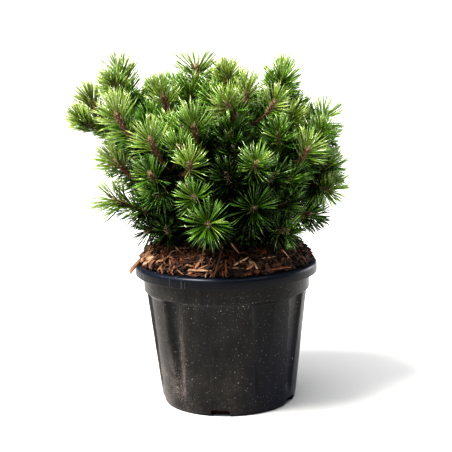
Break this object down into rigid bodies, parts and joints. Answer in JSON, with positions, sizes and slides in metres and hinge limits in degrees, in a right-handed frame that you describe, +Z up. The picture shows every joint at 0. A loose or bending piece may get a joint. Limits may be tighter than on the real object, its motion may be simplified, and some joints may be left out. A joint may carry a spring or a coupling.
{
  "type": "potted dwarf mountain pine",
  "caption": "Bushy dwarf conifer with long needles in upright brushes, growing from bark mulch in a round fluted plastic nursery pot.",
  "frame": {"origin": "centre of the pot's flat underside, on the surface that it stands on", "axes": "+Z up along the pot's axis, -Y the front, +X to the right as seen from the front"},
  "size_m": [0.3674, 0.3413, 0.4503],
  "materials": {
    "pot_plastic": "dusty satin",
    "bark_chips": "rough",
    "pine_bark": "rough, scaly",
    "pine_needles": "waxy"
  },
  "bodies": {
    "root": {"pot": "pot_plastic", "bark_mulch": "bark_chips", "trunk": "pine_bark", "bough_high_left": "pine_bark", "bough_far_left": "pine_bark", "bough_left_shoulder": "pine_bark", "bough_upper_left": "pine_bark", "bough_crown_top": "pine_bark", "bough_top_back": "pine_bark", "bough_top_right": "pine_bark", "bough_upper_right": "pine_bark", "bough_upper_front": "pine_bark", "bough_right_shoulder": "pine_bark", "bough_right_front": "pine_bark", "bough_right_edge": "pine_bark", "bough_right_low": "pine_bark", "bough_front_right": "pine_bark", "bough_front_right_low": "pine_bark", "bough_front_left": "pine_bark", "bough_left_front": "pine_bark", "bough_left_mid": "pine_bark", "bough_left_low": "pine_bark", "bough_back_left_high": "pine_bark", "bough_back_high": "pine_bark", "bough_back_right_high": "pine_bark", "bough_back_left": "pine_bark", "bough_back_left_low": "pine_bark", "bough_back": "pine_bark", "bough_back_right": "pine_bark", "bough_back_right_low": "pine_bark", "needles_high_left": "pine_needles", "needles_far_left": "pine_needles", "needles_left_shoulder": "pine_needles", "needles_upper_left": "pine_needles", "needles_crown_top": "pine_needles", "needles_top_back": "pine_needles", "needles_top_right": "pine_needles", "needles_upper_right": "pine_needles", "needles_upper_front": "pine_needles", "needles_right_shoulder": "pine_needles", "needles_right_front": "pine_needles", "needles_right_edge": "pine_needles", "needles_right_low": "pine_needles", "needles_front_right": "pine_needles", "needles_front_right_low": "pine_needles", "needles_front_low": "pine_needles", "needles_front_left": "pine_needles", "needles_left_front": "pine_needles", "needles_left_mid": "pine_needles", "needles_left_low": "pine_needles", "needles_back_left_high": "pine_needles", "needles_back_high": "pine_needles", "needles_back_right_high": "pine_needles", "needles_back_left": "pine_needles", "needles_back_left_low": "pine_needles", "needles_back": "pine_needles", "needles_back_right": "pine_needles", "needles_back_right_low": "pine_needles", "needles_left_foot": "pine_needles", "needles_right_foot": "pine_needles"}
  },
  "joints": []
}
